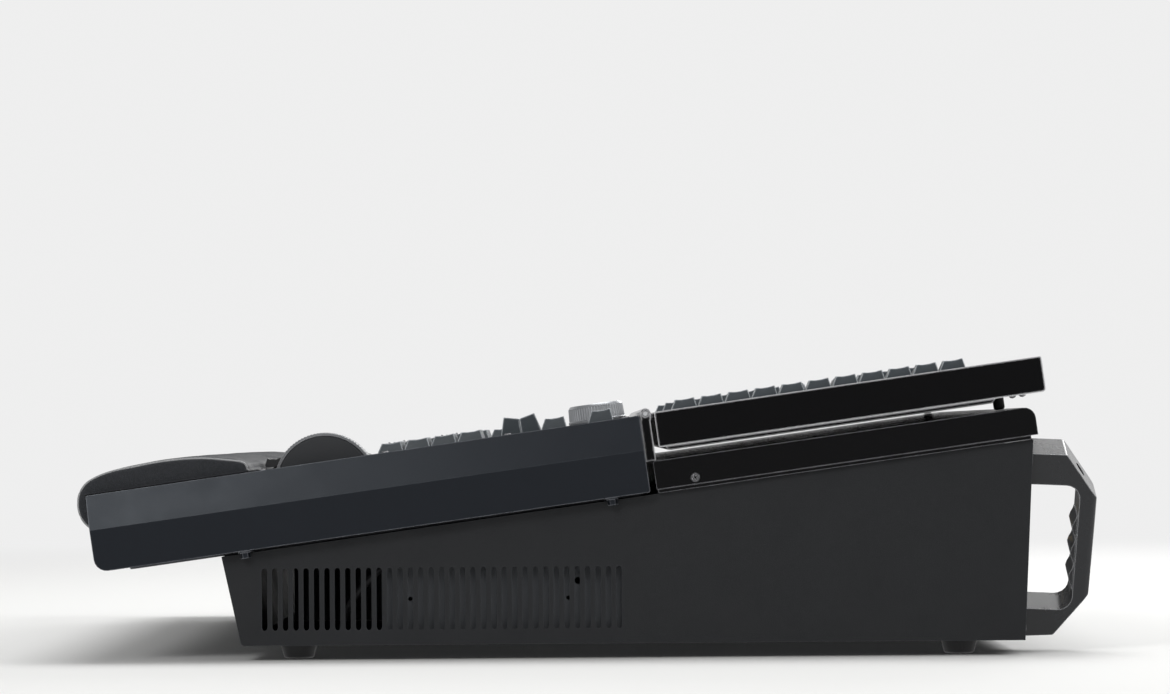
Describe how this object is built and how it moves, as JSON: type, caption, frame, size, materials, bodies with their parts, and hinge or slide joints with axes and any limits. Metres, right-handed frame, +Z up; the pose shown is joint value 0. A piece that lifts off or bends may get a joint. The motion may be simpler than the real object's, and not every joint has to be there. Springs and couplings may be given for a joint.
{
  "type": "lighting control console",
  "caption": "Stage lighting console: sloped desk of keys, faders and encoders with a palm rest, a hinged screen wing, rear carrying handles and feet.",
  "frame": {"origin": "middle of the console's footprint, on the surface under its feet", "axes": "+X towards the operator's right, +Y from the operator to the rear, +Z up"},
  "size_m": [0.8, 0.7176, 0.2092],
  "materials": {
    "powder_coat": "fine textured anthracite powder coat",
    "black_gloss": "black gloss lacquer",
    "zinc_sheet": "plain grey sheet",
    "black_plastic": "matt black",
    "wheel_plastic": "dark grey, fine texture",
    "key_plastic": "blue-grey, satin",
    "rubber": "matt black rubber",
    "leatherette": "dark grey grained",
    "handle_coat": "satin dark grey coat",
    "steel": "bright steel",
    "silver": "turned and anodised",
    "screen_glass": "dark switched-off screen",
    "ball_resin": "polished"
  },
  "bodies": {
    "housing": {"base_tray": "powder_coat", "rear_panel": "powder_coat", "rear_cover": "black_gloss", "inner_chassis": "zinc_sheet", "inner_lead": "rubber", "bed_plate": "zinc_sheet", "desk_tub": "powder_coat", "control_panel": "black_plastic", "palm_rest": "leatherette", "foot_front_left": "rubber", "foot_front_right": "rubber", "foot_rear_left": "rubber", "foot_rear_right": "rubber", "handle_left": "handle_coat", "handle_right": "handle_coat", "socket_board": "black_plastic", "power_inlet": "black_plastic", "hinge_rail": "black_plastic", "hinge_pin": "steel"},
    "wing": {"wing_frame": "black_gloss", "wing_back": "black_gloss", "screen_left": "screen_glass", "screen_right": "screen_glass", "bumper_left": "rubber", "bumper_right": "rubber"},
    "level_wheel": {"level_wheel": "wheel_plastic"},
    "trackball": {"trackball": "ball_resin"},
    "encoder_1": {"encoder_1": "silver"},
    "encoder_2": {"encoder_2": "silver"},
    "encoder_3": {"encoder_3": "silver"},
    "encoder_4": {"encoder_4": "silver"},
    "fader_1": {"fader_1": "black_plastic"},
    "fader_2": {"fader_2": "black_plastic"},
    "fader_3": {"fader_3": "black_plastic"},
    "fader_4": {"fader_4": "black_plastic"},
    "fader_5": {"fader_5": "black_plastic"},
    "fader_6": {"fader_6": "black_plastic"},
    "fader_7": {"fader_7": "black_plastic"},
    "fader_8": {"fader_8": "black_plastic"},
    "master_fader_a": {"master_fader_a": "black_plastic"},
    "master_fader_b": {"master_fader_b": "black_plastic"},
    "executor_keys": {"executor_keys": "key_plastic"},
    "number_keys": {"number_keys": "key_plastic"},
    "transport_keys": {"transport_keys": "key_plastic"},
    "edge_keys": {"edge_keys": "key_plastic"},
    "wing_keys_left": {"wing_keys_left": "key_plastic"},
    "wing_keys_middle": {"wing_keys_middle": "key_plastic"},
    "wing_key_01": {"wing_key_01": "key_plastic"},
    "wing_key_02": {"wing_key_02": "key_plastic"},
    "wing_key_03": {"wing_key_03": "key_plastic"},
    "wing_key_04": {"wing_key_04": "key_plastic"},
    "wing_key_05": {"wing_key_05": "key_plastic"},
    "wing_key_06": {"wing_key_06": "key_plastic"},
    "wing_key_07": {"wing_key_07": "key_plastic"},
    "wing_key_08": {"wing_key_08": "key_plastic"},
    "wing_key_09": {"wing_key_09": "key_plastic"},
    "wing_key_10": {"wing_key_10": "key_plastic"},
    "wing_key_11": {"wing_key_11": "key_plastic"}
  },
  "joints": [
    {"name": "wing_tilt", "type": "hinge", "parent": "housing", "child": "wing", "pos_m": [0, 0.04061, 0.17107], "axis": [1, 0, 0], "range_deg": [0, 60]},
    {"name": "level_wheel_turn", "type": "hinge", "parent": "housing", "child": "level_wheel", "pos_m": [0.352, -0.18508, 0.1232], "axis": [1, 0, 0], "continuous": true},
    {"name": "trackball_roll", "type": "hinge", "parent": "housing", "child": "trackball", "pos_m": [0.252, -0.18203, 0.13482], "axis": [1, 0, 0], "continuous": true},
    {"name": "encoder_1_turn", "type": "hinge", "parent": "housing", "child": "encoder_1", "pos_m": [0.024, 0.00752, 0.16583], "axis": [0, -0.1357, 0.9907], "continuous": true},
    {"name": "encoder_2_turn", "type": "hinge", "parent": "housing", "child": "encoder_2", "pos_m": [0.096, 0.00752, 0.16583], "axis": [0, -0.1357, 0.9907], "continuous": true},
    {"name": "encoder_3_turn", "type": "hinge", "parent": "housing", "child": "encoder_3", "pos_m": [0.168, 0.00752, 0.16583], "axis": [0, -0.1357, 0.9907], "continuous": true},
    {"name": "encoder_4_turn", "type": "hinge", "parent": "housing", "child": "encoder_4", "pos_m": [0.24, 0.00752, 0.16583], "axis": [0, -0.1357, 0.9907], "continuous": true},
    {"name": "fader_1_slide", "type": "slide", "parent": "housing", "child": "fader_1", "axis": [0, 0.9907, 0.1357], "range_m": [-0.042, 0.058]},
    {"name": "fader_2_slide", "type": "slide", "parent": "housing", "child": "fader_2", "axis": [0, 0.9907, 0.1357], "range_m": [-0.042, 0.058]},
    {"name": "fader_3_slide", "type": "slide", "parent": "housing", "child": "fader_3", "axis": [0, 0.9907, 0.1357], "range_m": [-0.084, 0.016]},
    {"name": "fader_4_slide", "type": "slide", "parent": "housing", "child": "fader_4", "axis": [0, 0.9907, 0.1357], "range_m": [0, 0.1]},
    {"name": "fader_5_slide", "type": "slide", "parent": "housing", "child": "fader_5", "axis": [0, 0.9907, 0.1357], "range_m": [-0.042, 0.058]},
    {"name": "fader_6_slide", "type": "slide", "parent": "housing", "child": "fader_6", "axis": [0, 0.9907, 0.1357], "range_m": [0, 0.1]},
    {"name": "fader_7_slide", "type": "slide", "parent": "housing", "child": "fader_7", "axis": [0, 0.9907, 0.1357], "range_m": [-0.084, 0.016]},
    {"name": "fader_8_slide", "type": "slide", "parent": "housing", "child": "fader_8", "axis": [0, 0.9907, 0.1357], "range_m": [-0.042, 0.058]},
    {"name": "master_fader_a_slide", "type": "slide", "parent": "housing", "child": "master_fader_a", "axis": [0, 0.9907, 0.1357], "range_m": [0, 0.1]},
    {"name": "master_fader_b_slide", "type": "slide", "parent": "housing", "child": "master_fader_b", "axis": [0, 0.9907, 0.1357], "range_m": [0, 0.1]},
    {"name": "executor_keys_press", "type": "slide", "parent": "housing", "child": "executor_keys", "axis": [0, 0.1357, -0.9907], "range_m": [0, 0.0015], "stiffness_N_per_m": 1500, "springref_m": -0.002},
    {"name": "number_keys_press", "type": "slide", "parent": "housing", "child": "number_keys", "axis": [0, 0.1357, -0.9907], "range_m": [0, 0.0015], "stiffness_N_per_m": 1500, "springref_m": -0.002},
    {"name": "transport_keys_press", "type": "slide", "parent": "housing", "child": "transport_keys", "axis": [0, 0.1357, -0.9907], "range_m": [0, 0.0015], "stiffness_N_per_m": 1500, "springref_m": -0.002},
    {"name": "edge_keys_press", "type": "slide", "parent": "housing", "child": "edge_keys", "axis": [0, 0.1357, -0.9907], "range_m": [0, 0.0015], "stiffness_N_per_m": 1500, "springref_m": -0.002},
    {"name": "wing_keys_left_press", "type": "slide", "parent": "wing", "child": "wing_keys_left", "axis": [0, 0.1357, -0.9907], "range_m": [0, 0.002], "stiffness_N_per_m": 1500, "springref_m": -0.002},
    {"name": "wing_keys_middle_press", "type": "slide", "parent": "wing", "child": "wing_keys_middle", "axis": [0, 0.1357, -0.9907], "range_m": [0, 0.002], "stiffness_N_per_m": 1500, "springref_m": -0.002},
    {"name": "wing_key_01_press", "type": "slide", "parent": "wing", "child": "wing_key_01", "axis": [0, 0.1357, -0.9907], "range_m": [0, 0.002], "stiffness_N_per_m": 400, "springref_m": -0.002},
    {"name": "wing_key_02_press", "type": "slide", "parent": "wing", "child": "wing_key_02", "axis": [0, 0.1357, -0.9907], "range_m": [0, 0.002], "stiffness_N_per_m": 400, "springref_m": -0.002},
    {"name": "wing_key_03_press", "type": "slide", "parent": "wing", "child": "wing_key_03", "axis": [0, 0.1357, -0.9907], "range_m": [0, 0.002], "stiffness_N_per_m": 400, "springref_m": -0.002},
    {"name": "wing_key_04_press", "type": "slide", "parent": "wing", "child": "wing_key_04", "axis": [0, 0.1357, -0.9907], "range_m": [0, 0.002], "stiffness_N_per_m": 400, "springref_m": -0.002},
    {"name": "wing_key_05_press", "type": "slide", "parent": "wing", "child": "wing_key_05", "axis": [0, 0.1357, -0.9907], "range_m": [0, 0.002], "stiffness_N_per_m": 400, "springref_m": -0.002},
    {"name": "wing_key_06_press", "type": "slide", "parent": "wing", "child": "wing_key_06", "axis": [0, 0.1357, -0.9907], "range_m": [0, 0.002], "stiffness_N_per_m": 400, "springref_m": -0.002},
    {"name": "wing_key_07_press", "type": "slide", "parent": "wing", "child": "wing_key_07", "axis": [0, 0.1357, -0.9907], "range_m": [0, 0.002], "stiffness_N_per_m": 400, "springref_m": -0.002},
    {"name": "wing_key_08_press", "type": "slide", "parent": "wing", "child": "wing_key_08", "axis": [0, 0.1357, -0.9907], "range_m": [0, 0.002], "stiffness_N_per_m": 400, "springref_m": -0.002},
    {"name": "wing_key_09_press", "type": "slide", "parent": "wing", "child": "wing_key_09", "axis": [0, 0.1357, -0.9907], "range_m": [0, 0.002], "stiffness_N_per_m": 400, "springref_m": -0.002},
    {"name": "wing_key_10_press", "type": "slide", "parent": "wing", "child": "wing_key_10", "axis": [0, 0.1357, -0.9907], "range_m": [0, 0.002], "stiffness_N_per_m": 400, "springref_m": -0.002},
    {"name": "wing_key_11_press", "type": "slide", "parent": "wing", "child": "wing_key_11", "axis": [0, 0.1357, -0.9907], "range_m": [0, 0.002], "stiffness_N_per_m": 400, "springref_m": -0.002}
  ]
}
